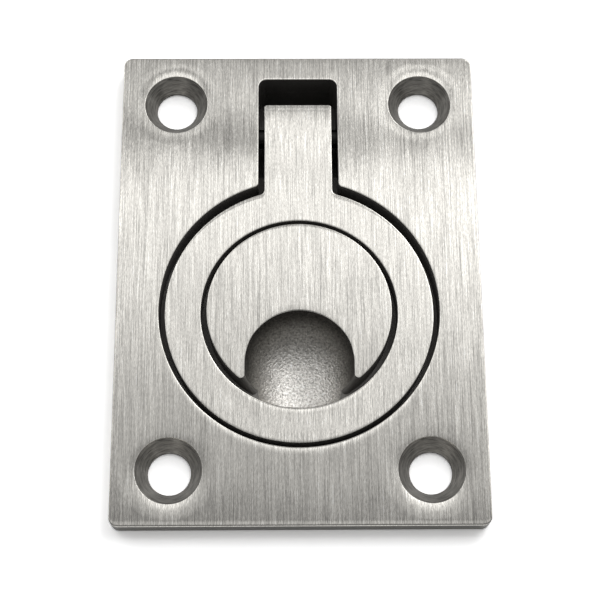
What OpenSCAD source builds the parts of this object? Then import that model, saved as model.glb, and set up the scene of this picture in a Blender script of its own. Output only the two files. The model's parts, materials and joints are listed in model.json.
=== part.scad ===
// Recessed pull handle: a flush ring that lies in a keyhole recess and lifts about a cross pin.
// The origin is the centre of the plate's back face, +Y runs to the pin and +Z out of the face.

/* [Plate] */
// Width of the plate
plate_w = 55; // [52:0.5:70]
// Length of the plate, along the ring's tab
plate_l = 75; // [74:0.5:100]
// Thickness of the plate
plate_t = 3; // [2.6:0.1:4]
// Radius of the plate's corners
corner_r = 1.4; // [0.8:0.1:5]
// Chamfer on the plate's upper edges
plate_break = 0.35; // [0.1:0.05:0.6]

/* [Screw holes] */
// Distance from each screw hole to the plate's long edge
hole_inset_x = 8.4; // [6.5:0.1:9.5]
// Distance from each screw hole to the plate's short edge
hole_inset_y = 8.2; // [6.5:0.1:10]
// Diameter of the screw holes
hole_d = 6.3; // [4:0.1:7]
// Diameter of the countersinks at the plate's face
csk_d = 9.8; // [8:0.1:11]
// Height of the straight hole below each countersink
csk_land = 0.5; // [0.2:0.1:1.2]

/* [Ring] */
// Inside diameter of the ring
ring_inner_d = 29.6; // [27:0.2:31]
// Width of the ring's band
ring_band = 5.4; // [4.6:0.1:6]
// Thickness of the ring
ring_t = 4; // [3.2:0.1:4.6]
// Chamfer on the edges of the ring and its tab
ring_break = 0.35; // [0.1:0.05:0.6]
// Depth of the ring's face below the plate's face
ring_set = 0.2; // [0:0.05:0.5]
// Distance from the plate's centre forward to the recess's centre
recess_forward = 4.8; // [4:0.1:6]
// Distance from the recess's centre forward to the centre of the resting ring
ring_forward = 0.25; // [0:0.05:0.5]
// Width of the tab between the ring and the pin
tab_w = 10.5; // [8:0.1:12]
// Radius of the tab's corners, seen from above
tab_corner = 0.5; // [0.2:0.1:1.5]
// Radius of the inner corners where the tab meets the ring
neck_r = 0.7; // [0.4:0.1:1.5]

/* [Pivot] */
// Diameter of the pin
pin_d = 3; // [2:0.1:3.2]
// Distance from the recess's centre back to the pin
pin_reach = 30.3; // [29.5:0.1:31.5]
// Distance from the plate's back face down to the pin's centre
pin_below = 1.75; // [1.7:0.05:2.2]
// Radius of the knuckle about the pin
knuckle_r = 4; // [3.4:0.1:4.2]
// Radial play of the knuckle on the pin
pin_play = 0.05; // [0.02:0.01:0.1]
// Depth of the pin's ends inside the cup's side faces
pin_end_set = 0.2; // [0:0.05:0.6]
// Chamfer on the pin's ends
pin_break = 0.3; // [0.1:0.05:0.6]

/* [Recess] */
// Gap between the ring and the recess, outside and inside the band
ring_gap = 0.9; // [0.6:0.05:1.2]
// Gap at each side of the tab
tab_gap = 0.95; // [0.4:0.05:1.4]
// Gap under the ring and under the knuckle
floor_gap = 0.3; // [0.2:0.05:0.8]
// Gap past the tab's corner as it swings by the end of the slot
end_gap = 2.1; // [0.4:0.1:2.4]
// Gap in front of the knuckle's web
web_gap = 0.6; // [0.4:0.1:1.5]
// Radius of the corners at the slot's end
slot_corner = 1.3; // [0.5:0.1:2.5]
// Radius of the recess's corners where its slot leaves the circle
recess_neck_r = 0.7; // [0.4:0.1:1.5]
// Chamfer on the rim of the recess and on the island
rim_break = 0.3; // [0.1:0.05:0.5]

/* [Finger scoop] */
// Radius of the scoop at the island's face
scoop_r = 8.25; // [7:0.05:9]
// Depth of the scoop
scoop_depth = 7.5; // [5.5:0.1:8]
// Distance from the recess's centre forward to the scoop's round end
scoop_forward = 8.25; // [7.5:0.05:9.5]
// Length of the scoop's straight run under the ring
scoop_run = 2.5; // [1:0.1:4]

/* [Cup] */
// Thickness of the cup's side wall
wall_t = 2.3; // [1.6:0.1:2.6]
// Thickness of the cup's floor under the knuckle
floor_t = 1.5; // [1:0.1:3]
// Radius of the cup's inner corners, behind the neck of the recess
cup_neck_r = 2; // [1:0.1:4]
// Chamfer on the cup's back edge
cup_break = 0.5; // [0.2:0.1:1]

/* [Hidden] */
$fn = 96;
// Overrun that carries a cut clear of the faces that it opens
over = 1;
// Colours
steel = "silver";
pin_steel = "darkgray";
// Ring and recess
ring_ir = ring_inner_d / 2;
ring_or = ring_ir + ring_band;
recess_r = ring_or + ring_gap;
island_r = ring_ir - ring_gap;
recess_y = -recess_forward;
ring_y = recess_y - ring_forward;
ring_face = plate_t - ring_set;
ring_back = ring_face - ring_t;
channel_z = ring_back - floor_gap;
// Pivot, and the circle that the tab's upper corner swings on
pin_y = recess_y + pin_reach;
pin_z = -pin_below;
tab_end = pin_y + knuckle_r;
swing_r = sqrt(pow(knuckle_r, 2) + pow(ring_face - pin_z, 2));
// Web that runs from the knuckle up to the tab at 45 degrees, touching the knuckle's circle
web_touch = knuckle_r * sin(45);
web_y = pin_y - 2 * web_touch - (ring_back - pin_z);
// Slot and pocket
slot_w = tab_w + 2 * tab_gap;
slot_end = pin_y + swing_r + end_gap;
pocket_y = web_y - web_gap;
pocket_z = pin_z - knuckle_r - floor_gap;
// Cup behind the plate
cup_z = pocket_z - floor_t;
cup_r = recess_r + wall_t;
cup_w = slot_w + 2 * wall_t;
cup_end = slot_end + wall_t;
cup_corner = slot_corner + wall_t;
// Sphere whose cap is the scoop's round end
scoop_ball = (pow(scoop_r, 2) + pow(scoop_depth, 2)) / (2 * scoop_depth);
scoop_y = recess_y - scoop_forward;
scoop_z = plate_t - scoop_depth + scoop_ball;

// Flat rectangle with round corners, centred on the origin
module round_rect(w, l, r) {
    square([w, l - 2 * r], center = true);
    square([w - 2 * r, l], center = true);
    for (x = [-1, 1], y = [-1, 1])
        translate([x * (w / 2 - r), y * (l / 2 - r)]) circle(r);
}

// Layer over a round rectangle whose sides lean out by lean from bottom to top
module leaning_layer(w, l, r, h, lean) {
    rotate([90, 0, 0])
        linear_extrude(l - 2 * r, center = true)
            polygon([[-w / 2, 0], [w / 2, 0], [w / 2 + lean, h], [-w / 2 - lean, h]]);
    rotate([90, 0, 90])
        linear_extrude(w - 2 * r, center = true)
            polygon([[-l / 2, 0], [l / 2, 0], [l / 2 + lean, h], [-l / 2 - lean, h]]);
    for (x = [-1, 1], y = [-1, 1])
        translate([x * (w / 2 - r), y * (l / 2 - r), 0]) cylinder(h, r, r + lean);
}

// Slab over a round rectangle with its upper edges chamfered by c
module chamfered_slab(w, l, r, h, c) {
    linear_extrude(h - c) round_rect(w, l, r);
    translate([0, 0, h - c]) leaning_layer(w, l, r, c, -c);
}

// Keyhole: a disc of radius r about the recess's centre and a slot of width w out to y = end
module keyhole(r, w, end, corner) {
    translate([0, recess_y]) circle(r);
    translate([0, (recess_y + end) / 2]) round_rect(w, end - recess_y, corner);
}

// Layer that fills both corners between a disc of radius r and a slot of width w. The fill's edge is
// an arc about the centre of the corner radius n, and its own radius goes from low to high.
module neck_layer(r, w, n, h, low, high) {
    x = w / 2 + n;
    y = sqrt(pow(r + n, 2) - pow(x, 2));
    touch = r / (r + n);
    for (side = [0, 1])
        mirror([side, 0, 0])
            difference() {
                linear_extrude(h)
                    polygon([[w / 2, y], [x, y], [x * touch, y * touch], [0, y * touch - w / 4]]);
                translate([x, y, 0]) cylinder(h, low, high);
            }
}

// Rim of the recess, opened upwards by a chamfer c that meets the plate's face
module keyhole_rim(r, w, end, corner, c) {
    translate([0, recess_y, plate_t - c]) cylinder(c, r, r + c);
    translate([0, recess_y, plate_t]) cylinder(over, r = r + c);
    translate([0, (recess_y + end) / 2, plate_t - c])
        leaning_layer(w, end - recess_y, corner, c, c);
    translate([0, (recess_y + end) / 2, plate_t])
        linear_extrude(over) round_rect(w + 2 * c, end - recess_y + 2 * c, corner + c);
}

module plate() {
    chamfered_slab(plate_w, plate_l, corner_r, plate_t, plate_break);
}

// Cup behind the plate that holds the recess, with its back edge chamfered
module cup() {
    cup_l = cup_end - recess_y;
    cup_mid = (cup_end + recess_y) / 2;
    n = cup_neck_r;
    c = cup_break;
    translate([0, 0, cup_z + cup_break])
        linear_extrude(-cup_z - cup_break + plate_t / 2) keyhole(cup_r, cup_w, cup_end, cup_corner);
    translate([0, recess_y, cup_z]) cylinder(cup_break, cup_r - cup_break, cup_r);
    translate([0, cup_mid, cup_z])
        leaning_layer(cup_w - 2 * cup_break, cup_l - 2 * cup_break, cup_corner - cup_break,
            cup_break, cup_break);
    translate([0, recess_y, cup_z]) neck_layer(cup_r, cup_w, n, c, n + c, n);
    translate([0, recess_y, cup_z + c]) neck_layer(cup_r, cup_w, n, -cup_z - c + plate_t / 2, n, n);
}

// Island inside the ring, flush with the plate
module island() {
    translate([0, recess_y, channel_z - over])
        cylinder(plate_t - rim_break - channel_z + over, r = island_r);
    translate([0, recess_y, plate_t - rim_break])
        cylinder(rim_break, island_r, island_r - rim_break);
}

// Rounded neck of the recess, which opens with the rim's chamfer
module recess_neck() {
    n = recess_neck_r;
    c = rim_break;
    translate([0, recess_y, channel_z])
        neck_layer(recess_r, slot_w, n, plate_t - c - channel_z, n, n);
    translate([0, recess_y, plate_t - c]) neck_layer(recess_r, slot_w, n, c, n, n - c);
    translate([0, recess_y, plate_t]) neck_layer(recess_r, slot_w, n, over, n - c, n - c);
}

// Channel that the ring and its tab lie in
module channel() {
    difference() {
        union() {
            translate([0, 0, channel_z])
                linear_extrude(plate_t - channel_z) keyhole(recess_r, slot_w, slot_end, slot_corner);
            keyhole_rim(recess_r, slot_w, slot_end, slot_corner, rim_break);
            recess_neck();
        }
        island();
    }
}

// Deeper pocket that the knuckle turns in
module knuckle_pocket() {
    translate([0, 0, pocket_z])
        linear_extrude(plate_t - pocket_z)
            intersection() {
                keyhole(recess_r, slot_w, slot_end, slot_corner);
                translate([-slot_w, pocket_y]) square([2 * slot_w, slot_end - pocket_y + over]);
            }
}

// Half of the scoop's ball, on the +Y side of its centre
module half_ball() {
    rotate_extrude(angle = 180)
        intersection() {
            circle(scoop_ball);
            translate([0, -scoop_ball]) square([scoop_ball, 2 * scoop_ball]);
        }
}

// Finger scoop: a round end in the island and a straight run under the ring's band
module scoop() {
    translate([0, scoop_y, scoop_z]) {
        half_ball();
        rotate([90, 0, 0]) cylinder(scoop_run, r = scoop_ball);
        translate([0, -scoop_run, 0]) mirror([0, 1, 0]) half_ball();
    }
}

// Countersunk screw hole at the origin, cut down through the plate
module screw_hole() {
    translate([0, 0, -over]) cylinder(plate_t + 2 * over, d = hole_d);
    translate([0, 0, csk_land]) cylinder(plate_t - csk_land, d1 = hole_d, d2 = csk_d);
    translate([0, 0, plate_t]) cylinder(over, d = csk_d);
}

// Bar along X through the pin's place
module cross_bar(d, length) {
    translate([-length / 2, pin_y, pin_z]) rotate([0, 90, 0]) cylinder(length, d = d);
}

// Ring with its edges chamfered
module band() {
    c = ring_break;
    translate([0, ring_y, ring_back])
        rotate_extrude()
            polygon([
                [ring_ir + c, 0], [ring_or - c, 0], [ring_or, c], [ring_or, ring_t - c],
                [ring_or - c, ring_t], [ring_ir + c, ring_t], [ring_ir, ring_t - c], [ring_ir, c]
            ]);
}

// Side view of the tab and its knuckle, drawn with x along Y and y along Z
module tab_side() {
    tab_start = ring_y + ring_ir + ring_band / 2;
    translate([tab_start, ring_back]) square([tab_end - tab_start, ring_t]);
    translate([pin_y, pin_z]) square([knuckle_r, ring_face - pin_z]);
    translate([pin_y, pin_z]) circle(knuckle_r);
    polygon([
        [web_y, ring_back], [pin_y - web_touch, pin_z - web_touch], [pin_y, pin_z], [pin_y, ring_back]
    ]);
}

// Tab from the band to the knuckle, with its corners round and its upper edges chamfered
module tab() {
    tab_l = tab_end - ring_y - ring_ir;
    knuckle_back = pin_z - knuckle_r;
    intersection() {
        rotate([90, 0, 90]) linear_extrude(tab_w + 2 * over, center = true) tab_side();
        translate([0, tab_end - tab_l / 2, knuckle_back - over])
            chamfered_slab(tab_w, tab_l, tab_corner, ring_face - knuckle_back + over, ring_break);
    }
}

// Fillets between the tab's sides and the band's outside, their edges chamfered as theirs are
module neck_fillets() {
    c = ring_break;
    translate([0, ring_y, ring_back]) {
        neck_layer(ring_or, tab_w, neck_r, c, neck_r + c, neck_r);
        translate([0, 0, c]) neck_layer(ring_or, tab_w, neck_r, ring_t - 2 * c, neck_r, neck_r);
        translate([0, 0, ring_t - c]) neck_layer(ring_or, tab_w, neck_r, c, neck_r, neck_r + c);
    }
}

// Cast base: the flush plate and the cup behind it, in one piece
module base() {
    color(steel)
        difference() {
            union() {
                plate();
                cup();
            }
            channel();
            knuckle_pocket();
            scoop();
            for (x = [-1, 1], y = [-1, 1])
                translate([x * (plate_w / 2 - hole_inset_x), y * (plate_l / 2 - hole_inset_y), 0])
                    screw_hole();
            cross_bar(pin_d, cup_w + 2 * over);
        }
}

// Ring handle: the band, its tab and the bored knuckle, in one piece
module ring_handle() {
    color(steel)
        difference() {
            union() {
                band();
                tab();
                neck_fillets();
            }
            cross_bar(pin_d + 2 * pin_play, tab_w + 2 * over);
        }
}

// Pin pressed through the cup's side walls
module pivot_pin() {
    pin_l = cup_w - 2 * pin_end_set;
    color(pin_steel)
        translate([-pin_l / 2, pin_y, pin_z])
            rotate([0, 90, 0]) {
                cylinder(pin_break, d1 = pin_d - 2 * pin_break, d2 = pin_d);
                translate([0, 0, pin_break]) cylinder(pin_l - 2 * pin_break, d = pin_d);
                translate([0, 0, pin_l - pin_break])
                    cylinder(pin_break, d1 = pin_d, d2 = pin_d - 2 * pin_break);
            }
}

base();
ring_handle();
pivot_pin();
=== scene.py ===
import json
from math import asin, atan, atan2, cos, degrees, hypot, pi, radians, sin, sqrt

import bmesh
import bpy
from mathutils import Matrix, Vector


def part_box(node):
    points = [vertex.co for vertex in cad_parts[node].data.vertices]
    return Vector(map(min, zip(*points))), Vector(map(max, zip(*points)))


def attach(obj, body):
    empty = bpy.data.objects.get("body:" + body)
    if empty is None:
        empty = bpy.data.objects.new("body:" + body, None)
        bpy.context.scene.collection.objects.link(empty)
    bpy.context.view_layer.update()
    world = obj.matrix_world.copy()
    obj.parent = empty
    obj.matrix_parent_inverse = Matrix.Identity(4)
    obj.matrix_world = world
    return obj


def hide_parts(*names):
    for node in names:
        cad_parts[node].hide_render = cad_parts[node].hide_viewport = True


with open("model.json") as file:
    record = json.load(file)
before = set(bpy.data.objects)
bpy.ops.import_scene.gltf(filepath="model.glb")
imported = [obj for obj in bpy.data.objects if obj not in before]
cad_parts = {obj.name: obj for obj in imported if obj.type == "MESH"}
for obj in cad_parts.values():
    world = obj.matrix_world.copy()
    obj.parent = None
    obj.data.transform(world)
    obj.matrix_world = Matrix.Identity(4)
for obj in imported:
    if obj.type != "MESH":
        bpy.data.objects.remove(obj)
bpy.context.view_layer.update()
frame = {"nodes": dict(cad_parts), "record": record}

# Meshes are modelled in millimetres and scaled to metres when a piece is finished.
mm = 0.001
scene = bpy.context.scene


def boxInMm(node):
    low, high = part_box(node)
    return low / mm, high / mm


baseLow, baseHigh = boxInMm("base")
ringLow, ringHigh = boxInMm("ring_handle")
pinLow, pinHigh = boxInMm("pivot_pin")
pinCentre = (pinLow + pinHigh) / 2
holes = next(m for m in frame["record"]["mounts"] if m["name"] == "screw_holes")["dims"]
print("frame loaded:", ", ".join(sorted(frame["nodes"])))


# Outlines and lofts

# How far a cutter is lifted over the face that it opens out on, how far it goes on above it, and
# the hair that keeps shared walls apart and shrunken corners round
cut = {"lift": 0.0005, "over": 1.0, "hair": 0.01}
# Shares of the easing on rims that face along X and -Y, and the step that finds a rim's facing
brush = {"sideShare": 0.35, "frontShare": 0.4, "probe": 0.001}
# Points nearer than merge are joined, edges sharper than sharpAngle stay sharp, and weight is how
# strongly large faces set the shading
meshing = {"merge": 1e-5, "sharpAngle": 32, "weight": 50}
# Steps in a full round, a bore and a corner
roundSteps, boreSteps, cornerSteps = 180, 48, 8


def arc(centreX, centreY, radius, start, stop, steps):
    # Points on an arc, both ends included, angles in degrees
    angles = [radians(start + (stop - start) * i / steps) for i in range(steps + 1)]
    return [(centreX + radius * cos(a), centreY + radius * sin(a)) for a in angles]


def rimProfile(edge, reach=0.0, dip=0.0, bevel=0.0, bevelLean=90, arcSteps=6, rollSteps=9):
    # Pairs of (distance in from the wall, drop below the face): a flat bevel, a rounded edge of
    # radius edge, then a face that rises by dip over reach, as brushing leaves it
    slope = atan(3 * dip / reach) if reach else 0
    steepest = radians(bevelLean)
    bevelIn = bevel * cos(steepest)
    pairs = []
    if bevel:
        pairs.append((0, dip + edge * (cos(slope) - cos(steepest)) + bevel * sin(steepest)))
    for i in range(arcSteps + 1):
        turn = steepest + (slope - steepest) * i / arcSteps
        pairs.append((bevelIn + edge * (sin(steepest) - sin(turn)), dip + edge * (cos(slope) - cos(turn))))
    rimEnd = pairs[-1][0]
    for i in range(1, rollSteps + 1 if reach else 1):
        part = i / rollSteps
        pairs.append((rimEnd + reach * part, dip * (1 - part) ** 3))
    return pairs


def easedLoop(outline, side, inset, drop, level, frontShare=None):
    # One loop of a rim, drawn in (side -1) or opened out (side 1) from an outline. The brushing runs
    # along Y, so it eases a rim that faces +Y in full, and one that faces X or -Y by a smaller share
    frontShare = brush["frontShare"] if frontShare is None else frontShare
    points = []
    for (x, y), (_, nearY), (endX, endY) in zip(
            outline(0), outline(side * brush["probe"]), outline(side * inset)):
        turnY = (nearY - y) / brush["probe"]
        shareY = 1 if turnY < 0 else frontShare
        share = brush["sideShare"] + (shareY - brush["sideShare"]) * turnY ** 2
        points.append((x + (endX - x) * brush["sideShare"], y + (endY - y) * shareY, level - drop * share))
    return points


def slabLoops(outline, bottom, top, topRim, bottomRim=(), frontShare=None):
    # Loops of a slab from its bottom face to its top face, both rims drawn in
    loops = [easedLoop(outline, -1, inset, -drop, bottom) for inset, drop in reversed(bottomRim)]
    if not bottomRim:
        loops = [[(x, y, bottom) for x, y in outline(0)]]
    return loops + [easedLoop(outline, -1, inset, drop, top, frontShare) for inset, drop in topRim]


def cutLoops(outline, bottom, face, rim):
    # Loops of a cutter that opens out over a face, lifted so that it leaves the face cleanly
    loops = [[(x, y, bottom) for x, y in outline(0)]]
    loops += [easedLoop(outline, 1, inset, drop, face + cut["lift"]) for inset, drop in rim]
    return loops + [easedLoop(outline, 1, rim[-1][0], 0, face + cut["over"])]


def loft(name, loops, finish, rimFinish=None, rimFrom=None):
    # Closed solid through loops of equal length; faces from loop rimFrom on take rimFinish
    mesh = bpy.data.meshes.new(name)
    piece = bpy.data.objects.new(name, mesh)
    scene.collection.objects.link(piece)
    bm = bmesh.new()
    rows = [[bm.verts.new(point) for point in loop] for loop in loops]
    count = len(rows[0])
    for level in range(len(rows) - 1):
        lower, upper = rows[level], rows[level + 1]
        for i in range(count):
            j = (i + 1) % count
            quad = bm.faces.new((lower[i], lower[j], upper[j], upper[i]))
            quad.material_index = 1 if rimFrom is not None and level >= rimFrom else 0
    bm.faces.new(list(reversed(rows[0])))
    bm.faces.new(rows[-1]).material_index = 1 if rimFinish else 0
    bmesh.ops.remove_doubles(bm, verts=bm.verts, dist=meshing["merge"])
    bmesh.ops.recalc_face_normals(bm, faces=bm.faces)
    bm.to_mesh(mesh)
    bm.free()
    mesh.materials.append(finish)
    if rimFinish:
        mesh.materials.append(rimFinish)
    return piece


def bakeModifiers(piece):
    graph = bpy.context.evaluated_depsgraph_get()
    mesh = bpy.data.meshes.new_from_object(
        piece.evaluated_get(graph), preserve_all_data_layers=True, depsgraph=graph)
    piece.modifiers.clear()
    piece.data = mesh


def combine(target, other, operation):
    # Boolean of two solids; a cut keeps the finish of its cutter
    step = target.modifiers.new("combine", "BOOLEAN")
    step.operation = operation
    step.object = other
    step.solver = "EXACT"
    step.material_mode = "TRANSFER"
    bakeModifiers(target)
    bpy.data.objects.remove(other)


def rod(name, sections, steps, finish):
    # Round rod along the pin's axis, through sections of (x, radius)
    stop = 360 * (steps - 1) / steps
    return loft(name, [[(x, y, z) for y, z in arc(pinCentre.y, pinCentre.z, radius, 0, stop, steps - 1)]
                       for x, radius in sections], finish)


def finishPiece(piece, name, body, node):
    # Shades, scales to metres and hands over a piece that stands for a node
    mesh = piece.data
    mesh.shade_smooth()
    mesh.set_sharp_from_angle(angle=radians(meshing["sharpAngle"]))
    weigh = piece.modifiers.new("weigh", "WEIGHTED_NORMAL")
    weigh.keep_sharp = True
    weigh.weight = meshing["weight"]
    bakeModifiers(piece)
    piece.data.transform(Matrix.Scale(mm, 4))
    piece.name = piece.data.name = name
    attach(piece, body)
    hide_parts(node)
    print(name, "has", len(piece.data.polygons), "faces")


# Finishes

# A noise value's middle, and the values that it rarely goes below or above
noiseMiddle, noiseLow, noiseHigh = 0.5, 0.3, 0.7


def newGroup(name, inputs, outputs):
    group = bpy.data.node_groups.new(name, "ShaderNodeTree")
    for label, kind, value in inputs:
        socket = group.interface.new_socket(label, in_out="INPUT", socket_type=kind)
        if value is not None:
            socket.default_value = value
    for label, kind in outputs:
        group.interface.new_socket(label, in_out="OUTPUT", socket_type=kind)
    return group, group.nodes.new("NodeGroupInput"), group.nodes.new("NodeGroupOutput")


def wire(tree, socket, value):
    # Links a socket to another one, or sets its value
    if isinstance(value, bpy.types.NodeSocket):
        tree.links.new(value, socket)
    else:
        socket.default_value = value


def mathNode(tree, operation, *values):
    node = tree.nodes.new("ShaderNodeMath")
    node.operation = operation
    for socket, value in zip(node.inputs, values):
        wire(tree, socket, value)
    return node.outputs[0]


def vectorNode(tree, operation, *values):
    node = tree.nodes.new("ShaderNodeVectorMath")
    node.operation = operation
    for socket, value in zip(node.inputs, values):
        wire(tree, socket, value)
    return node.outputs["Value" if operation == "LENGTH" else "Vector"]


def combineNode(tree, *values):
    node = tree.nodes.new("ShaderNodeCombineXYZ")
    for socket, value in zip(node.inputs, values):
        wire(tree, socket, value)
    return node.outputs[0]


def toWorld(tree, vector):
    # Turns a direction on the object into one in the world, so that it follows the object's poses
    node = tree.nodes.new("ShaderNodeVectorTransform")
    node.vector_type = "VECTOR"
    node.convert_from, node.convert_to = "OBJECT", "WORLD"
    wire(tree, node.inputs[0], vector)
    return node.outputs[0]


def noiseNode(tree, vector, detail=2.0, roughness=0.5):
    node = tree.nodes.new("ShaderNodeTexNoise")
    node.inputs["Scale"].default_value = 1
    node.inputs["Detail"].default_value = detail
    node.inputs["Roughness"].default_value = roughness
    tree.links.new(vector, node.inputs["Vector"])
    return node.outputs["Fac"]


def rangeNode(tree, value, fromLow, fromHigh, toLow, toHigh, smooth=False):
    node = tree.nodes.new("ShaderNodeMapRange")
    if smooth:
        node.interpolation_type = "SMOOTHSTEP"
    limits = {"From Min": fromLow, "From Max": fromHigh, "To Min": toLow, "To Max": toHigh}
    for label, number in limits.items():
        wire(tree, node.inputs[label], number)
    tree.links.new(value, node.inputs["Value"])
    return node.outputs["Result"]


def rampNode(tree, value, stops, between="LINEAR"):
    # Level along a value, as a list of (value, level) that covers all its values
    ramp = tree.nodes.new("ShaderNodeValToRGB")
    ramp.color_ramp.interpolation = between
    elements = ramp.color_ramp.elements
    low, high = stops[0][0], stops[-1][0]
    top = max(level for _, level in stops)
    for i, (place, level) in enumerate(stops):
        part = (place - low) / (high - low)
        element = elements[0] if i == 0 else elements[-1] if i == len(stops) - 1 else elements.new(part)
        element.position = part
        element.color = (level / top,) * 3 + (1,)
    tree.links.new(rangeNode(tree, value, low, high, 0, 1), ramp.inputs[0])
    return mathNode(tree, "MULTIPLY", ramp.outputs[0], top)


def mixNode(tree, factor, first, second):
    node = tree.nodes.new("ShaderNodeMix")
    wire(tree, node.inputs[0], factor)
    wire(tree, node.inputs[2], first)
    wire(tree, node.inputs[3], second)
    return node.outputs[0]


def buildGrainGroup():
    # Brushing along Y: long lines, short flecks and broad bands; the vector is in millimetres
    group, source, sink = newGroup(
        "brushGrain",
        [("Vector", "NodeSocketVector", None), ("Line Width", "NodeSocketFloat", 0.08),
         ("Line Length", "NodeSocketFloat", 7.0), ("Fleck Length", "NodeSocketFloat", 0.5),
         ("Drift", "NodeSocketFloat", 0.0)],
        [("Lines", "NodeSocketFloat"), ("Flecks", "NodeSocketFloat"), ("Bands", "NodeSocketFloat"),
         ("Tilt", "NodeSocketFloat"), ("Height", "NodeSocketFloat")])
    drift = source.outputs["Drift"]
    width, length, fleck = (source.outputs[label] for label in ("Line Width", "Line Length", "Fleck Length"))
    bandWidth = mathNode(group, "MULTIPLY", width, 6)
    bandLength = mathNode(group, "MULTIPLY", length, 3)

    def layer(across, along, shift, detail, roughness=0.5):
        # One noise, moved by its own shift so that no two layers are alike
        place = vectorNode(group, "ADD", source.outputs["Vector"], combineNode(group, drift, drift, shift))
        scaled = vectorNode(group, "DIVIDE", place, combineNode(group, across, along, across))
        return noiseNode(group, scaled, detail, roughness)

    lines = layer(width, length, 0.0, 2, 0.6)
    flecks = layer(width, fleck, 11.0, 1)
    bands = layer(bandWidth, bandLength, 23.0, 2)
    tilts = mathNode(group, "ADD", layer(width, length, 37.0, 1), layer(width, fleck, 51.0, 1))
    results = {"Lines": lines, "Flecks": flecks, "Bands": bands,
               "Tilt": mathNode(group, "SUBTRACT", tilts, 2 * noiseMiddle),
               "Height": mathNode(group, "ADD", lines, bands)}
    for label, value in results.items():
        group.links.new(value, sink.inputs[label])
    return group


def buildSpeckleGroup():
    # Small rounded spots, as grit and cast grain leave them; the vector is in millimetres
    group, source, sink = newGroup(
        "speckle",
        [("Vector", "NodeSocketVector", None), ("Size", "NodeSocketFloat", 0.2)],
        [("Height", "NodeSocketFloat"), ("Broad", "NodeSocketFloat")])
    size, broadScale = source.outputs["Size"], 0.12
    place = vectorNode(group, "DIVIDE", source.outputs["Vector"], combineNode(group, size, size, size))
    grit = noiseNode(group, place, 3, 0.6)
    broad = noiseNode(group, vectorNode(group, "MULTIPLY", place, (broadScale, broadScale, broadScale)))
    group.links.new(grit, sink.inputs["Height"])
    group.links.new(broad, sink.inputs["Broad"])
    return group


def buildLeanGroup():
    # Leans the surface's normal along the object's Y, as uneven brushing does
    group, source, sink = newGroup(
        "leanNormal", [("Vector", "NodeSocketVector", None), ("Lean", "NodeSocketFloat", 0.0),
                       ("Sway", "NodeSocketFloat", 0.0), ("Sway Size", "NodeSocketFloat", 10.0)],
        [("Normal", "NodeSocketVector")])
    size = source.outputs["Sway Size"]
    place = vectorNode(group, "DIVIDE", source.outputs["Vector"], combineNode(group, size, size, size))
    sway = mathNode(group, "SUBTRACT", noiseNode(group, place), noiseMiddle)
    swayed = mathNode(group, "MULTIPLY", sway, source.outputs["Sway"])
    lean = mathNode(group, "ADD", source.outputs["Lean"], swayed)
    normal = group.nodes.new("ShaderNodeNewGeometry").outputs["Normal"]
    leaned = vectorNode(group, "ADD", normal, toWorld(group, combineNode(group, 0.0, lean, 0.0)))
    group.links.new(vectorNode(group, "NORMALIZE", leaned), sink.inputs["Normal"])
    return group


grainGroup = buildGrainGroup()
speckleGroup = buildSpeckleGroup()
leanGroup = buildLeanGroup()


def useGroup(tree, group, vector, **values):
    node = tree.nodes.new("ShaderNodeGroup")
    node.node_tree = group
    tree.links.new(vector, node.inputs["Vector"])
    for label, value in values.items():
        wire(tree, node.inputs[label], value)
    return node


def newMetal(name, roughness, anisotropic=0.0, spread=None):
    # Metal whose highlight is drawn out along spread, and a place vector in millimetres
    material = bpy.data.materials.new(name)
    material.use_nodes = True
    tree = material.node_tree
    shader = tree.nodes["Principled BSDF"]
    shader.inputs["Metallic"].default_value = 1.0
    shader.inputs["Roughness"].default_value = roughness
    shader.inputs["Anisotropic"].default_value = anisotropic
    if spread:
        tree.links.new(toWorld(tree, spread), shader.inputs["Tangent"])
    place = tree.nodes.new("ShaderNodeTexCoord").outputs["Object"]
    toMm = vectorNode(tree, "MULTIPLY", place, (1 / mm, 1 / mm, 1 / mm))
    return material, tree, shader, toMm


def tint(tree, shader, colour, amount):
    # Base colour times a changing amount
    node = tree.nodes.new("ShaderNodeMix")
    node.data_type = "RGBA"
    node.blend_type = "MULTIPLY"
    node.inputs["Factor"].default_value = 1.0
    node.inputs[6].default_value = (*colour, 1)
    tree.links.new(combineNode(tree, amount, amount, amount), node.inputs[7])
    tree.links.new(node.outputs[2], shader.inputs["Base Color"])


def bump(tree, shader, height, distance, normal=None):
    node = tree.nodes.new("ShaderNodeBump")
    node.inputs["Distance"].default_value = distance * mm
    tree.links.new(height, node.inputs["Height"])
    if normal:
        tree.links.new(normal, node.inputs["Normal"])
    tree.links.new(node.outputs[0], shader.inputs["Normal"])


def around(tree, value, amount):
    # 1 plus amount times how far a noise value is from its middle
    return mathNode(tree, "MULTIPLY_ADD", mathNode(tree, "SUBTRACT", value, noiseMiddle), amount, 1.0)


# Brushed faces: lengths in mm; the highlight is drawn out along spread, which is across the brushing
brushed = {
    "colour": (0.69, 0.671, 0.628), "roughness": 0.115, "roughnessSpan": 0.02, "anisotropic": 1.0,
    "spread": (1, 0.02, 0.01), "lineWidth": 0.078, "lineLength": 7.0, "fleckLength": 0.5,
    "lineTone": 2.0, "fleckTone": 1.0, "bandTone": 0.3,
    "lean": 0.02, "sway": 0.012, "swaySize": 9.0, "bump": 0.0005,
}


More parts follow.
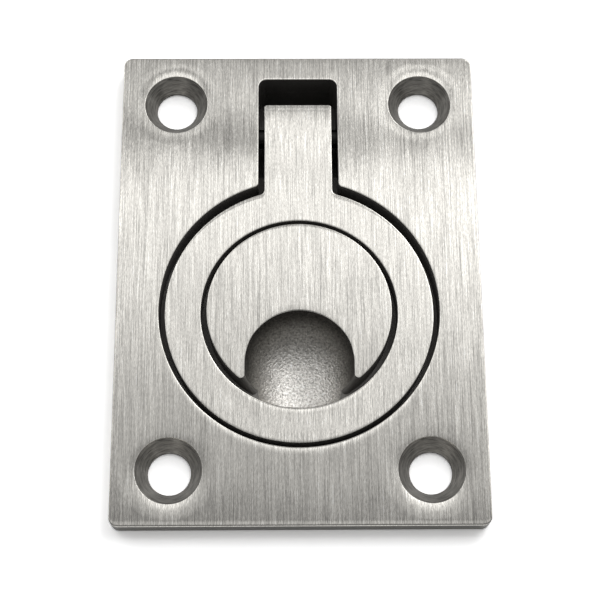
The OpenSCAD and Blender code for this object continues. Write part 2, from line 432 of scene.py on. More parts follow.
def brushedSteel(name, drift):
    # Drift moves the grain, so that no two pieces show the same lines
    roughness, span = brushed["roughness"], brushed["roughnessSpan"]
    material, tree, shader, place = newMetal(name, roughness, brushed["anisotropic"], brushed["spread"])
    grain = useGroup(tree, grainGroup, place, **{
        "Line Width": brushed["lineWidth"], "Line Length": brushed["lineLength"],
        "Fleck Length": brushed["fleckLength"], "Drift": drift})
    lines, flecks, bands = (
        around(tree, grain.outputs[label], brushed[tone])
        for label, tone in (("Lines", "lineTone"), ("Flecks", "fleckTone"), ("Bands", "bandTone")))
    tint(tree, shader, brushed["colour"],
         mathNode(tree, "MULTIPLY", mathNode(tree, "MULTIPLY", lines, flecks), bands))
    rough = rangeNode(tree, grain.outputs["Bands"], noiseLow, noiseHigh, roughness - span, roughness + span)
    tree.links.new(rough, shader.inputs["Roughness"])
    lean = mathNode(tree, "MULTIPLY", grain.outputs["Tilt"], brushed["lean"])
    leaned = useGroup(tree, leanGroup, place, **{
        "Lean": lean, "Sway": brushed["sway"], "Sway Size": brushed["swaySize"]})
    bump(tree, shader, grain.outputs["Height"], brushed["bump"], leaned.outputs["Normal"])
    return material


# Turned cones: marks and arcs are how quickly the tone changes down and round a cone
turned = {
    "colour": (0.38, 0.367, 0.343), "roughness": 0.3, "anisotropic": 0.8, "marks": 8.0, "arcs": 2.5,
    "tone": 2.6, "bump": 0.004,
}


def turnedSteel(coneRadius, coneFoot):
    # Cutter marks run round each countersink, so its highlight spreads up and down the cone
    material, tree, shader, place = newMetal("turnedSteel", turned["roughness"], turned["anisotropic"])
    centre = (holes["spacing_x_mm"] / 2, holes["spacing_y_mm"] / 2, 0)
    fromHole = vectorNode(tree, "SUBTRACT", vectorNode(tree, "ABSOLUTE", place), centre)
    flat = vectorNode(tree, "MULTIPLY", fromHole, (1, 1, 0))
    unit = vectorNode(tree, "NORMALIZE", flat)
    outward = vectorNode(tree, "MULTIPLY", unit, vectorNode(tree, "SIGN", place))
    slope = (coneRadius - holes["hole_r_mm"]) / (face - coneFoot)
    spread = vectorNode(tree, "ADD", vectorNode(tree, "MULTIPLY", outward, (slope, slope, 0)), (0, 0, 1))
    tree.links.new(toWorld(tree, spread), shader.inputs["Tangent"])
    arcs = vectorNode(tree, "MULTIPLY", outward, (turned["arcs"], turned["arcs"], 0))
    down = mathNode(tree, "MULTIPLY", vectorNode(tree, "LENGTH", flat), turned["marks"])
    marks = noiseNode(tree, vectorNode(tree, "ADD", arcs, combineNode(tree, 0.0, 0.0, down)), 3, 0.6)
    tint(tree, shader, turned["colour"], around(tree, marks, turned["tone"]))
    bump(tree, shader, marks, turned["bump"])
    return material


# Blasted and cast faces: size is the grit's, in mm, and paintedShade gives the axis along which the colour
# is darkened as painted shade, where that starts and ends, and the share that is left
blasted = {
    # Painted shade: the scoop's colour darkens towards its rim, for the shade on its steep upper walls
    "scoop": {"colour": (0.80, 0.776, 0.735), "roughness": 0.36, "size": 0.34, "bump": 0.14, "tone": 2.3,
              "paintedShade": (2, -4.4, 2.0, 0.13)},
    # Painted shade: the walls' colour darkens towards the slot's end, for the shade deep in the slot
    "wall": {"colour": (0.26, 0.252, 0.24), "roughness": 0.65, "size": 0.22, "bump": 0.01, "tone": 0.4,
             "paintedShade": (1, 13.0, 18.0, 0.8)},
    # Painted shade: wall, pocket and side are darker than the scoop's blasted metal, for shade in the gaps
    "pocket": {"colour": (0.2, 0.194, 0.184), "roughness": 0.65, "size": 0.22, "bump": 0.01, "tone": 0.4},
    "side": {"colour": (0.32, 0.312, 0.30), "roughness": 0.6, "size": 0.22, "bump": 0.01, "tone": 0.4},
    "cast": {"colour": (0.50, 0.49, 0.47), "roughness": 0.48, "size": 0.7, "bump": 0.05, "tone": 0.4},
}
broadTone = 0.2  # how much broad spots change the tone, the same for all of them


def blastedSteel(name):
    look = blasted[name]
    material, tree, shader, place = newMetal(name + "Steel", look["roughness"])
    grit = useGroup(tree, speckleGroup, place, Size=look["size"])
    tone = mathNode(tree, "MULTIPLY", around(tree, grit.outputs["Height"], look["tone"]),
                    around(tree, grit.outputs["Broad"], broadTone))
    # Painted shade: the colour is darkened along one axis
    if "paintedShade" in look:
        axis, start, end, left = look["paintedShade"]
        parts = tree.nodes.new("ShaderNodeSeparateXYZ")
        tree.links.new(place, parts.inputs[0])
        paintedShade = rangeNode(tree, parts.outputs[axis], start, end, 1, left, True)
        tone = mathNode(tree, "MULTIPLY", tone, paintedShade)
    tint(tree, shader, look["colour"], tone)
    bump(tree, shader, grit.outputs["Height"], look["bump"])
    return material


plateSteel = brushedSteel("brushedPlateSteel", 0.0)
ringSteel = brushedSteel("brushedRingSteel", 37.0)
scoopSteel = blastedSteel("scoop")
wallSteel = blastedSteel("wall")
pocketSteel = blastedSteel("pocket")
sideSteel = blastedSteel("side")
castSteel = blastedSteel("cast")
print("finishes made")


# Base: plate and cup, with the ring's recess, the finger scoop and the screw holes cut in

# Lengths in mm and angles in degrees. An edge is a rim's radius and a bevel its flat; a roll is how
# far in from a rim the brushing eases the face, and by how much
plate = {
    "corner": 1.4, "edge": 0.42, "bevel": 0.13, "bevelLean": 40, "rollReach": 0.8, "rollDip": 0.01,
}
recess = {
    "forward": 4.8, "radius": 21.1, "slotHalf": 6.2, "slotCorner": 1.3, "neckEase": 0.7, "easeSteps": 4,
    "endGap": 2.1, "webGap": 0.6, "islandRadius": 13.9, "floor": -1.5, "pocketDepth": 4.3,
    "edge": 0.25, "rollReach": 1.3, "rollDip": 0.03, "islandReach": 0.8, "islandDip": 0.01,
}
scoop = {
    "radius": 8.25, "depth": 7.5, "forward": 8.25, "run": 2.5, "steps": 48, "levels": 40,
    "bevel": 0.2, "bevelLean": 46.3, "rollReach": 1.4, "rollDip": 0.012,
    "tipRadius": 0.6, "tipSink": 0.02, "tipLap": 0.5, "tipSteps": 10,
}
cup = {"wall": 2.3, "edge": 0.5, "neckEase": 2.0, "bore": 1.52}
# farRoll is the share of the roll that the far row keeps. A sag deepens a rim's roll on its -Y side
# and eases it on its +Y side, and a negative one does the opposite
countersink = {
    "radius": 4.9, "land": 0.5, "segments": 96, "edge": 0.08, "rollReach": 3.0, "rollDip": 0.063,
    "farRoll": 0.5, "farSag": -0.5, "nearSag": 0.65, "marks": 14, "markSteps": 6, "markDepth": 0.004,
}
# The ring's own sizes stand here because its swing shapes the slot and the pocket
ring = {
    "inner": 14.8, "back": -1.2, "tabHalf": 5.25, "tabCorner": 0.5, "neck": 0.7, "edge": 0.3,
    "rollReach": 0.9, "rollDip": 0.02, "knuckleRadius": 4.0, "bore": 1.55,
    "cornerSteps": 6, "knuckleSteps": 36, "hollow": 0.32, "hollowFrom": 2.8, "hollowPower": 3.0,
    "hollowSteps": 40, "tabFlat": 19.0, "tabRise": 0.154,
}
face = baseHigh.z
halfWidth, halfLength = baseHigh.x, -baseLow.y
ringFace = ringHigh.z
swing = hypot(ring["knuckleRadius"], ringFace - pinCentre.z)
slotEnd = pinCentre.y + swing + recess["endGap"]
# Where the web under the tab, at 45 degrees, meets the ring's back
webFoot = pinCentre.y - ring["knuckleRadius"] * sqrt(2) - (ring["back"] - pinCentre.z)
pocketFrom = webFoot - recess["webGap"]
pocketFloor = pinCentre.z - recess["pocketDepth"]
coneSteel = turnedSteel(countersink["radius"], countersink["land"])


def roundRectLoop(halfX, halfY, corner, grow):
    radius = max(corner + grow, cut["hair"])
    x, y = halfX + grow - radius, halfY + grow - radius
    return (arc(x, y, radius, 0, 90, cornerSteps) + arc(-x, y, radius, 90, 180, cornerSteps)
            + arc(-x, -y, radius, 180, 270, cornerSteps) + arc(x, -y, radius, 270, 360, cornerSteps))


def keyholeLoop(radius, slotHalf, slotEnd, corner, ease, grow):
    # Disc and slot in one outline, grown by grow, its inner corners eased
    centreY, easeSteps = -recess["forward"], recess["easeSteps"]
    radius, slotHalf, slotEnd, corner = radius + grow, slotHalf + grow, slotEnd + grow, corner + grow
    ease = max(ease - grow, cut["hair"] / 2)
    easeX = slotHalf + ease
    easeY = sqrt((radius + ease) ** 2 - easeX ** 2)
    lean = degrees(atan2(easeY, easeX))
    disc = arc(0, centreY, radius, 180 - lean, 360 + lean, roundSteps)
    right = arc(easeX, centreY + easeY, ease, 180 + lean, 180, easeSteps)
    left = arc(-easeX, centreY + easeY, ease, 0, -lean, easeSteps)
    topRight = arc(slotHalf - corner, slotEnd - corner, corner, 0, 90, cornerSteps)
    topLeft = arc(corner - slotHalf, slotEnd - corner, corner, 90, 180, cornerSteps)
    return disc + right[1:] + topRight + topLeft + left[:-1]


def recessLoop(grow):
    return keyholeLoop(recess["radius"], recess["slotHalf"], slotEnd, recess["slotCorner"],
                       recess["neckEase"], grow)


def cupLoop(grow):
    wall = cup["wall"]
    return keyholeLoop(recess["radius"], recess["slotHalf"], slotEnd, recess["slotCorner"],
                       wall + cup["neckEase"], wall + grow)


def pocketLoop():
    # Slot's outline past the web, a hair inside the channel's walls
    half, end, corner = recess["slotHalf"] - cut["hair"], slotEnd - cut["hair"], recess["slotCorner"]
    return ([(half, pocketFrom)] + arc(half - corner, end - corner, corner, 0, 90, cornerSteps)
            + arc(corner - half, end - corner, corner, 90, 180, cornerSteps) + [(-half, pocketFrom)])


def circleLoop(radius, centreY):
    return arc(0, centreY, radius, 0, 360 * (roundSteps - 1) / roundSteps, roundSteps - 1)


def scoopLoop(radius):
    # Half circles at both ends of the straight run under the ring
    back, steps = -recess["forward"] - scoop["forward"], scoop["steps"]
    return arc(0, back, radius, 0, 180, steps) + arc(0, back - scoop["run"], radius, 180, 360, steps)


def tipLoop(side, halfWidth, z):
    # Outline of what rounding takes off the island's tip, beside a scoop of this half width
    radius, island = scoop["tipRadius"], recess["islandRadius"]
    x = halfWidth + radius
    y = -sqrt((island - radius) ** 2 - x ** 2)
    rounding = arc(x, y, radius, 180, 360 + degrees(atan2(y, x)), scoop["tipSteps"])
    endX, endY = rounding[-1]
    out = 1 + cut["over"] / island
    inside = halfWidth - scoop["tipLap"]
    beyond = [(endX * out, endY * out), (inside, -island - cut["over"]), (inside, y)]
    return [(side * px, py - recess["forward"], z) for px, py in rounding + beyond]


def makeCountersinkProfile():
    # Half section of one countersink cutter, from its axis below the plate to its axis above
    top, land, holeRadius = face + cut["lift"], countersink["land"], holes["hole_r_mm"]
    rim = rimProfile(countersink["edge"], countersink["rollReach"], countersink["rollDip"])
    coneTop = top - rim[0][1]
    points = [(0, -cut["over"]), (holeRadius, -cut["over"]), (holeRadius, land)]
    steps = countersink["marks"] * countersink["markSteps"]
    for i in range(1, steps):
        part = i / steps
        mark = countersink["markDepth"] * sin(2 * pi * countersink["marks"] * part)
        radius = holeRadius + (countersink["radius"] - holeRadius) * part + mark
        points.append((radius, land + (coneTop - land) * part))
    points += [(countersink["radius"] + inset, top - drop) for inset, drop in rim]
    points += [(points[-1][0], face + cut["over"]), (0, face + cut["over"])]
    mesh = bpy.data.meshes.new("countersinkProfile")
    mesh.from_pydata([(r, 0, z) for r, z in points], [(i, i + 1) for i in range(len(points) - 1)], [])
    profile = bpy.data.objects.new("countersinkProfile", mesh)
    scene.collection.objects.link(profile)
    return profile


def buildTurningTree():
    # Turns a half section about Z, repeats it at the corners of a rectangle, and leans each copy's rim
    tree = bpy.data.node_groups.new("turnAndRepeat", "GeometryNodeTree")
    panel = tree.interface
    panel.new_socket("Geometry", in_out="INPUT", socket_type="NodeSocketGeometry")
    for label, kind in (("Segments", "NodeSocketInt"), ("Spacing X", "NodeSocketFloat"),
                        ("Spacing Y", "NodeSocketFloat"), ("Rim Level", "NodeSocketFloat"),
                        ("Face Level", "NodeSocketFloat"), ("Far Roll", "NodeSocketFloat"),
                        ("Far Sag", "NodeSocketFloat"), ("Near Sag", "NodeSocketFloat"),
                        ("Wall Finish", "NodeSocketMaterial"), ("Rim Finish", "NodeSocketMaterial")):
        panel.new_socket(label, in_out="INPUT", socket_type=kind)
    panel.new_socket("Geometry", in_out="OUTPUT", socket_type="NodeSocketGeometry")

    def add(kind, links=(), **settings):
        node = tree.nodes.new(kind)
        for key, value in settings.items():
            setattr(node, key, value)
        for socket, value in links:
            if isinstance(value, bpy.types.NodeSocket):
                tree.links.new(value, node.inputs[socket])
            else:
                node.inputs[socket].default_value = value
        return node

    def calculate(operation, first, second=0.0):
        return add("ShaderNodeMath", [(0, first), (1, second)], operation=operation).outputs[0]

    inputs = add("NodeGroupInput").outputs
    section = inputs["Geometry"]
    points = add("GeometryNodeAttributeDomainSize", [("Geometry", section)]).outputs["Point Count"]
    columns = calculate("ADD", inputs["Segments"], 1)
    sheet = add("GeometryNodeMeshGrid", [("Vertices X", columns), ("Vertices Y", points)]).outputs["Mesh"]
    index = add("GeometryNodeInputIndex").outputs[0]
    column = calculate("FLOOR", calculate("DIVIDE", calculate("ADD", index, 0.5), points))
    sectionPoint = calculate("SUBTRACT", index, calculate("MULTIPLY", column, points))
    angle = calculate("MULTIPLY", calculate("DIVIDE", column, inputs["Segments"]), 2 * pi)
    position = add("GeometryNodeInputPosition").outputs[0]
    sample = add("GeometryNodeSampleIndex", data_type="FLOAT_VECTOR", domain="POINT")
    tree.links.new(section, sample.inputs["Geometry"])
    tree.links.new(position, sample.inputs["Value"])
    tree.links.new(sectionPoint, sample.inputs["Index"])
    part = add("ShaderNodeSeparateXYZ", [(0, sample.outputs[0])])
    swept = add("ShaderNodeCombineXYZ", [
        (0, calculate("MULTIPLY", part.outputs[0], calculate("COSINE", angle))),
        (1, calculate("MULTIPLY", part.outputs[0], calculate("SINE", angle))), (2, part.outputs[2])])
    wrapped = add("GeometryNodeSetPosition", [("Geometry", sheet), ("Position", swept.outputs[0])])
    closed = add("GeometryNodeMergeByDistance", [("Geometry", wrapped.outputs[0]), ("Distance", 1e-4)])
    corners = add("GeometryNodeMeshGrid", [("Size X", inputs["Spacing X"]), ("Size Y", inputs["Spacing Y"]),
                                           ("Vertices X", 2), ("Vertices Y", 2)])
    copies = add("GeometryNodeInstanceOnPoints", [
        ("Points", corners.outputs["Mesh"]), ("Instance", closed.outputs[0])])
    solid = add("GeometryNodeRealizeInstances", [("Geometry", copies.outputs[0])])

    # Each point's place from its own hole's middle, and how far below the face it lies in the rim
    x, y, height = add("ShaderNodeSeparateXYZ", [(0, position)]).outputs
    side, isFar = calculate("SIGN", y), calculate("GREATER_THAN", y, 0.0)
    middleX = calculate("MULTIPLY", inputs["Spacing X"], 0.5)
    middleY = calculate("MULTIPLY", calculate("MULTIPLY", inputs["Spacing Y"], 0.5), side)
    localX = calculate("SUBTRACT", calculate("ABSOLUTE", x), middleX)
    localY = calculate("SUBTRACT", y, middleY)
    radius = calculate("SQRT", calculate("ADD", calculate("MULTIPLY", localX, localX),
                                         calculate("MULTIPLY", localY, localY)))
    level = calculate("MINIMUM", calculate("MAXIMUM", height, inputs["Rim Level"]), inputs["Face Level"])
    drop = calculate("SUBTRACT", inputs["Face Level"], level)
    turn = calculate("DIVIDE", localY, calculate("MAXIMUM", radius, 0.001))

    def byRow(far, near):
        return calculate("ADD", near, calculate("MULTIPLY", isFar, calculate("SUBTRACT", far, near)))

    roll, sag = byRow(inputs["Far Roll"], 1.0), byRow(inputs["Far Sag"], inputs["Near Sag"])
    kept = calculate("MULTIPLY", roll, calculate("SUBTRACT", 1.0, calculate("MULTIPLY", sag, turn)))
    lift = calculate("MULTIPLY", drop, calculate("SUBTRACT", 1.0, kept))
    offset = add("ShaderNodeCombineXYZ", [(2, lift)]).outputs[0]
    sagged = add("GeometryNodeSetPosition", [("Geometry", solid.outputs[0]), ("Offset", offset)])
    walls = add("GeometryNodeSetMaterial", [
        ("Geometry", sagged.outputs[0]), ("Material", inputs["Wall Finish"])])
    isRim = calculate("GREATER_THAN", height, inputs["Rim Level"])
    rims = add("GeometryNodeSetMaterial", [("Geometry", walls.outputs[0]), ("Selection", isRim),
                                           ("Material", inputs["Rim Finish"])])
    tree.links.new(rims.outputs[0], add("NodeGroupOutput").inputs[0])
    return tree


def runTree(piece, tree, values):
    # Runs a geometry tree on a piece and leaves a plain mesh
    step = piece.modifiers.new(tree.name, "NODES")
    step.node_group = tree
    for item in tree.interface.items_tree:
        if item.in_out == "INPUT" and item.name in values:
            step[item.identifier] = values[item.name]
    bakeModifiers(piece)
    bm = bmesh.new()
    bm.from_mesh(piece.data)
    bmesh.ops.recalc_face_normals(bm, faces=bm.faces)
    bm.to_mesh(piece.data)
    bm.free()
    return piece


def makePlate():
    # Plate and the cup behind it
    outline = lambda grow: roundRectLoop(halfWidth, halfLength, plate["corner"], grow)
    rim = rimProfile(plate["edge"], plate["rollReach"], plate["rollDip"], plate["bevel"], plate["bevelLean"])
    base = loft("plate", slabLoops(outline, 0, face, rim, frontShare=1), plateSteel)
    cupLoops = slabLoops(cupLoop, baseLow.z, face / 2, [(0, 0)], rimProfile(cup["edge"]))
    combine(base, loft("cup", cupLoops, castSteel), "UNION")
    print("plate and cup joined")
    return base


def cutRecess(base):
    # Channel round the island, and the pocket under the knuckle
    rim = rimProfile(recess["edge"], recess["rollReach"], recess["rollDip"])
    channel = loft("channel", cutLoops(recessLoop, recess["floor"], face, rim), wallSteel, plateSteel, 1)
    combine(base, channel, "DIFFERENCE")
    islandRim = rimProfile(recess["edge"], recess["islandReach"], recess["islandDip"])
    outline = lambda grow: circleLoop(recess["islandRadius"] + grow, -recess["forward"])
    islandLoops = slabLoops(outline, recess["floor"] - cut["over"], face, islandRim)
    combine(base, loft("island", islandLoops, wallSteel, plateSteel, 1), "UNION")
    pocket = loft("pocket", [[(x, y, z) for x, y in pocketLoop()]
                             for z in (pocketFloor, recess["floor"] + cut["over"])], pocketSteel)
    combine(base, pocket, "DIFFERENCE")
    print("channel and pocket cut")


def cutScoop(base):
    # Bowl drawn out along its run, and then the rounding of the island's tips beside it
    top = face + cut["lift"]
    rim = rimProfile(0, scoop["rollReach"], scoop["rollDip"], scoop["bevel"], scoop["bevelLean"], 1)
    mouthZ = top - rim[0][1]
    mouthRadius = scoop["radius"] - scoop["bevel"] / 2
    ball = (mouthRadius ** 2 + scoop["depth"] ** 2) / (2 * scoop["depth"])
    ballZ = face - scoop["depth"] + ball
    # From just beside the ball's lowest point, so that the first loop isn't a single point
    footTurn, mouthTurn = -89, degrees(asin((mouthZ - ballZ) / ball))
    loops = []
    for i in range(scoop["levels"] + 1):
        turn = radians(footTurn + (mouthTurn - footTurn) * i / scoop["levels"])
        loops.append([(x, y, ballZ + ball * sin(turn)) for x, y in scoopLoop(ball * cos(turn))])
    mouth = lambda grow: scoopLoop(ball * cos(radians(mouthTurn)) + grow)
    loops += [easedLoop(mouth, 1, inset, drop, top, 1) for inset, drop in rim]
    loops.append(easedLoop(mouth, 1, rim[-1][0], 0, face + cut["over"], 1))
    combine(base, loft("scoop", loops, scoopSteel, plateSteel, scoop["levels"] + 1), "DIFFERENCE")

    footZ, steps = recess["floor"] - scoop["tipSink"], scoop["tipSteps"]
    levels = [footZ + (mouthZ - footZ) * i / steps for i in range(steps + 1)]
    halfWidths = [sqrt(ball ** 2 - (z - ballZ) ** 2) for z in levels]
    levels.append(face + cut["over"])
    halfWidths.append(halfWidths[-1])
    for side in (1, -1):
        tip = loft("tip", [tipLoop(side, x, z) for x, z in zip(halfWidths, levels)], wallSteel)
        combine(base, tip, "DIFFERENCE")
    print("scoop cut, and the island's tips rounded")


def cutScrewHoles(base):
    cones = runTree(makeCountersinkProfile(), buildTurningTree(), {
        "Segments": countersink["segments"],
        "Spacing X": holes["spacing_x_mm"], "Spacing Y": holes["spacing_y_mm"],
        "Rim Level": face - countersink["edge"] - countersink["rollDip"], "Face Level": face + cut["lift"],
        "Far Roll": countersink["farRoll"], "Far Sag": countersink["farSag"],
        "Near Sag": countersink["nearSag"], "Wall Finish": coneSteel, "Rim Finish": plateSteel})
    combine(base, cones, "DIFFERENCE")
    print("countersinks cut")


def makeBase():
    base = makePlate()
    cutRecess(base)
    cutScoop(base)
    cutScrewHoles(base)
    bore = rod("bore", [(-halfWidth, cup["bore"]), (halfWidth, cup["bore"])], boreSteps, castSteel)
    combine(base, bore, "DIFFERENCE")
    return base


finishPiece(makeBase(), "cast_base", "base", "base")


# Ring handle: the band and its tab, and the knuckle under the tab's end

ringOuter = ringHigh.x
ringY = ringLow.y + ringOuter
tabEnd = ringHigh.y


def ringLoop(grow):
    # Band and tab seen from above; the neck's corners are hollow, so they open as the outline shrinks
    steps = ring["cornerSteps"]
    outer, tabHalf, end = ringOuter + grow, ring["tabHalf"] + grow, tabEnd + grow
    corner, neck = max(ring["tabCorner"] + grow, cut["hair"]), ring["neck"] - grow
    neckX = ring["tabHalf"] + ring["neck"]
    neckY = sqrt((ringOuter + ring["neck"]) ** 2 - neckX ** 2)
    lean = degrees(atan2(neckY, neckX))
    disc = arc(0, ringY, outer, 180 - lean, 360 + lean, roundSteps)
    right = arc(neckX, ringY + neckY, neck, 180 + lean, 180, steps)
    left = arc(-neckX, ringY + neckY, neck, 0, -lean, steps)
    topRight = arc(tabHalf - corner, end - corner, corner, 0, 90, steps)
    topLeft = arc(corner - tabHalf, end - corner, corner, 90, 180, steps)
    return disc + right[1:] + topRight + topLeft + left[:-1]


def makeEye(rim, backRim):
    # Cutter for the band's opening, opened out over both faces
    outline = lambda grow: circleLoop(ring["inner"] + grow, ringY)
    low, high = ring["back"] - cut["lift"], ringFace + cut["lift"]
    loops = [easedLoop(outline, 1, backRim[-1][0], 0, ring["back"] - cut["over"])]
    loops += [easedLoop(outline, 1, inset, -drop, low) for inset, drop in reversed(backRim)]
    loops += [easedLoop(outline, 1, inset, drop, high) for inset, drop in rim]
    loops.append(easedLoop(outline, 1, rim[-1][0], 0, ringFace + cut["over"]))
    return loft("eye", loops, sideSteel, ringSteel, len(backRim) + 1)


def knuckleLoop(grow, x):
    # Side view of the knuckle, its straight back and its web at 45 degrees up to the tab
    radius = ring["knuckleRadius"] + grow
    top = (ringFace + ring["back"]) / 2
    lead = pinCentre.y + pinCentre.z - radius * sqrt(2)
    points = arc(pinCentre.y, pinCentre.z, radius, 225, 360, ring["knuckleSteps"])
    points += [(pinCentre.y + radius, top), (lead - top, top)]
    return [(x, y, z) for y, z in points]


def makeKnuckle():
    # Knuckle and web, a hair inside the tab's sides
    half = ring["tabHalf"] - cut["hair"]
    sections = [(half - inset, -drop - cut["hair"]) for inset, drop in rimProfile(ring["tabCorner"])]
    loops = [knuckleLoop(grow, -x) for x, grow in sections]
    loops += [knuckleLoop(grow, x) for x, grow in reversed(sections)]
    return loft("knuckle", loops, sideSteel)


def hollowFace(body):
    # Lowers the face in a shallow hollow along Y: by nothing at the band's near end, in full from
    # hollowFrom to tabFlat, and by a little less at the tab's end
    bm = bmesh.new()
    bm.from_mesh(body.data)
    facesUp = 0.99
    bmesh.ops.triangulate(bm, faces=[f for f in bm.faces if f.normal.z > facesUp])
    steps = ring["hollowSteps"]
    for i in range(1, steps):
        y = ringLow.y + (tabEnd - ringLow.y) * i / steps
        everything = bm.verts[:] + bm.edges[:] + bm.faces[:]
        bmesh.ops.bisect_plane(bm, geom=everything, plane_co=(0, y, 0), plane_no=(0, 1, 0))
    deepFrom, flatTo = ring["hollowFrom"], ring["tabFlat"]
    rimDepth = ring["edge"] + ring["rollDip"] + cut["hair"]
    for vertex in bm.verts:
        if vertex.co.z > ringFace - rimDepth:
            near = max(0, (deepFrom - vertex.co.y) / (deepFrom - ringLow.y))
            far = min(1, max(0, (vertex.co.y - flatTo) / (tabEnd - flatTo)))
            lowered = ring["hollow"] * max(0, 1 - near ** ring["hollowPower"])
            vertex.co.z -= lowered - ring["tabRise"] * far * far * (3 - 2 * far)
    bm.to_mesh(body.data)
    bm.free()


def makeRing():
    rim = rimProfile(ring["edge"], ring["rollReach"], ring["rollDip"])
    backRim = rimProfile(ring["edge"])
    body = loft("band", slabLoops(ringLoop, ring["back"], ringFace, rim, backRim), sideSteel, ringSteel,
                len(backRim))
    combine(body, makeEye(rim, backRim), "DIFFERENCE")
    combine(body, makeKnuckle(), "UNION")
    bore = rod("ringBore", [(-ringOuter, ring["bore"]), (ringOuter, ring["bore"])], boreSteps, wallSteel)
    combine(body, bore, "DIFFERENCE")
    hollowFace(body)
    return body


finishPiece(makeRing(), "ring_pull", "ring", "ring_handle")


# Pivot pin: a turned rod with chamfered ends

# Painted shade: the pin's colour is near black, for the shade in the narrow gaps beside the tab
pin = {
    "chamfer": 0.3, "steps": 64, "colour": (0.045, 0.044, 0.042), "roughness": 0.3,
    "marks": (12, 0.4, 0.4), "tone": (0.85, 1.1), "bump": 0.002,
}


def turnedPinSteel():
    material, tree, shader, place = newMetal("pinSteel", pin["roughness"])
    marks = noiseNode(tree, vectorNode(tree, "MULTIPLY", place, pin["marks"]))
    tint(tree, shader, pin["colour"], rangeNode(tree, marks, noiseLow, noiseHigh, *pin["tone"]))
    bump(tree, shader, marks, pin["bump"])
    return material


def makePin():
    radius, chamfer, end = (pinHigh.z - pinLow.z) / 2, pin["chamfer"], pinHigh.x
    sections = [(-end, radius - chamfer), (chamfer - end, radius),
                (end - chamfer, radius), (end, radius - chamfer)]
    return rod("pin", sections, pin["steps"], turnedPinSteel())


finishPiece(makePin(), "cross_pin", "base", "pivot_pin")


# Floor: a pale board with a cut-out that the cup is let into, so the plate lies on its face

floorSizes = {"half": 2000.0, "thick": 40.0, "play": 0.3, "clear": 0.03}
# The board's colour, and the paler one that camera rays see
floorLook = {"plain": 0.55, "seen": 1.9}


def paleFloor():
    material = bpy.data.materials.new("paleFloor")
    material.use_nodes = True
    tree = material.node_tree
    tree.nodes.remove(tree.nodes["Principled BSDF"])
    shader = tree.nodes.new("ShaderNodeBsdfDiffuse")
    path = tree.nodes.new("ShaderNodeLightPath")
    level = rangeNode(tree, path.outputs["Is Camera Ray"], 0, 1, floorLook["plain"], floorLook["seen"])
    tree.links.new(combineNode(tree, level, level, level), shader.inputs["Color"])
    tree.links.new(shader.outputs[0], tree.nodes["Material Output"].inputs["Surface"])
    return material


def makeFloor():
    half, thick, level = floorSizes["half"], floorSizes["thick"], -floorSizes["clear"]
    square = [(half, -half), (half, half), (-half, half), (-half, -half)]
    floor = loft("floor", [[(x, y, z) for x, y in square] for z in (level - thick, level)], paleFloor())
    opening = loft("opening", [[(x, y, z) for x, y in cupLoop(floorSizes["play"])]
                               for z in (baseLow.z - cut["over"], level + cut["over"])], paleFloor())
    combine(floor, opening, "DIFFERENCE")
    floor.data.transform(Matrix.Scale(mm, 4))


makeFloor()
print("floor made")


# Light: one soft sky whose bands run along X, given by their lean from straight up towards +Y

sky = {
    # How much the bands turn towards X, and the lean at which the front part gives way to the back
    "turn": 0.03, "split": 10,
    "front": [(-90, 0.1), (-74, 0.1), (-71, 0.8), (-67, 0.8), (-64, 0.1), (-46, 0.1), (-38, 0.22),
              (-25, 0.38), (-10, 0.47), (4, 0.58), (9, 0.57), (10, 0.44), (10.5, 0.38)],
    # The back part eases from each level to the next
    "back": [
        (9.5, 0.30), (10.6, 0.30),  # in front of the panel
        (12.9, 0.54), (23.4, 1.24), (24.0, 1.24),  # the panel, dim near and bright far
        (25.8, 0.37), (26.0, 0.37),  # a dark gap
        (27.0, 1.14),  # a thin strip light
        (28.1, 0.50), (42.0, 0.45), (60.0, 0.6), (90.0, 0.3)],  # the wall above it
    # Share of the level by the angle to the side
    "across": [(-90, 0.7), (-45, 0.8), (-12, 1), (25, 1), (45, 0.8), (90, 0.6)],
    # One more than how fast the level rises towards +X, by lean
    "slant": [(-90, 1.0), (16, 1.0), (20, 1.3), (24.4, 1.3), (25.4, 1.8), (26.4, 2.9), (27.4, 3.0), (28, 0.3),
              (30, 0.3), (34, 1.0), (90, 1.0)],
    # The leans of the narrow bands, the angles to the side between which they end, and the level there
    "narrow": (23, 24, 42, 46), "narrowEnds": ((9, 16), (-10, -18)), "open": 1.0,
    # Lamps beside the narrow bands: the angles to the side at which each rises and falls, its level,
    # and the share of it that stays further out; both lie between the same leans
    "rightLamp": {"side": (9, 25, 28, 44), "level": 4.0, "left": 0.1},
    "leftLamp": {"side": (-12, -30, -40, -62), "level": 1.6, "left": 0.2},
    "lampLean": (6, 46, 58, 78),
}


def windowNode(tree, value, edges, level=1, left=0):
    # Rises from 0 to level between the first two edges, and falls to a share of it between the others
    riseFrom, riseTo, fallFrom, fallTo = edges
    return mathNode(tree, "MULTIPLY", rangeNode(tree, value, riseFrom, riseTo, 0, level),
                    rangeNode(tree, value, fallFrom, fallTo, 1, left))


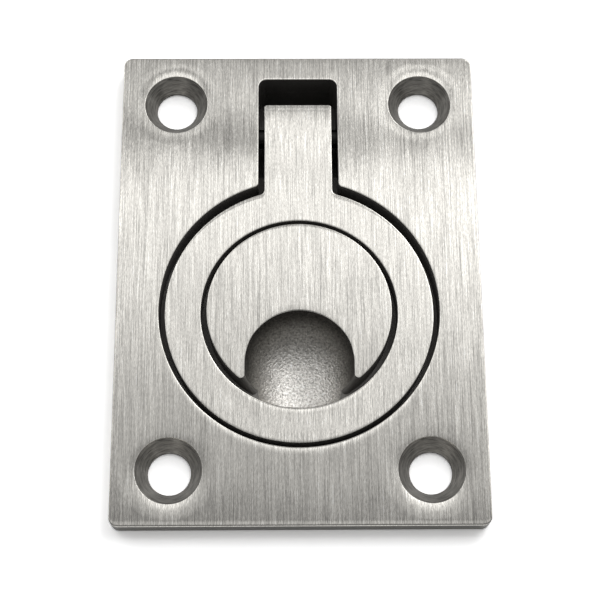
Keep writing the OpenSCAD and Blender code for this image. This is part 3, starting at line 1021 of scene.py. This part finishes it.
def makeSky():
    world = bpy.data.worlds.new("softSky")
    scene.world = world
    world.use_nodes = True
    tree = world.node_tree
    background = tree.nodes["Background"]
    background.inputs["Color"].default_value = (1, 1, 1, 1)
    direction = tree.nodes.new("ShaderNodeTexCoord").outputs["Generated"]
    split = tree.nodes.new("ShaderNodeSeparateXYZ")
    tree.links.new(direction, split.inputs[0])
    x, y, z = split.outputs
    along = mathNode(tree, "MULTIPLY_ADD", x, sky["turn"], y)
    lean = mathNode(tree, "DEGREES", mathNode(tree, "ARCTAN2", along, z))
    side = mathNode(tree, "DEGREES", mathNode(tree, "ARCSINE", x))
    isBack = mathNode(tree, "GREATER_THAN", lean, sky["split"])
    front, back = rampNode(tree, lean, sky["front"]), rampNode(tree, lean, sky["back"], "EASE")
    level = mixNode(tree, isBack, front, back)

    ends = [rangeNode(tree, side, start, end, 0, 1, True) for start, end in sky["narrowEnds"]]
    narrow = windowNode(tree, lean, sky["narrow"])
    opened = mathNode(tree, "MULTIPLY", mathNode(tree, "MAXIMUM", *ends), narrow)
    level = mixNode(tree, opened, level, sky["open"])

    lamps = [windowNode(tree, side, lamp["side"], lamp["level"], lamp["left"])
             for lamp in (sky["rightLamp"], sky["leftLamp"])]
    lit = mathNode(tree, "MULTIPLY", mathNode(tree, "ADD", *lamps), windowNode(tree, lean, sky["lampLean"]))
    level = mathNode(tree, "ADD", level, lit)

    slant = mathNode(tree, "SUBTRACT", rampNode(tree, lean, sky["slant"]), 1.0)
    level = mathNode(tree, "MULTIPLY", level, mathNode(tree, "MULTIPLY_ADD", slant, x, 1.0))
    level = mathNode(tree, "MULTIPLY", level, rampNode(tree, side, sky["across"]))
    path = tree.nodes.new("ShaderNodeLightPath")
    seen = rangeNode(tree, path.outputs["Is Camera Ray"], 0, 1, level, 1.0)
    tree.links.new(seen, background.inputs["Strength"])


makeSky()


# Camera at the photograph's place and angle

# Place, lens and sensor in mm, turns in degrees, and nearest and farthest in metres
camera = {
    "place": (-2.43, -78.16, 216.83), "lean": 19.302, "swing": -1.951, "roll": 1.668,
    "lens": 90.5, "sensor": 36, "nearest": 0.01, "farthest": 20,
}


def makeCamera():
    data = bpy.data.cameras.new("camera")
    data.lens, data.sensor_width = camera["lens"], camera["sensor"]
    data.clip_start, data.clip_end = camera["nearest"], camera["farthest"]
    holder = bpy.data.objects.new("camera", data)
    scene.collection.objects.link(holder)
    swing, lean, roll = (Matrix.Rotation(radians(camera[key]), 4, axis)
                         for key, axis in (("swing", "Z"), ("lean", "X"), ("roll", "Z")))
    holder.matrix_world = Matrix.Translation(Vector(camera["place"]) * mm) @ (swing @ lean @ roll)
    scene.camera = holder


makeCamera()
scene.view_settings.view_transform = "Standard"
print("light and camera set")
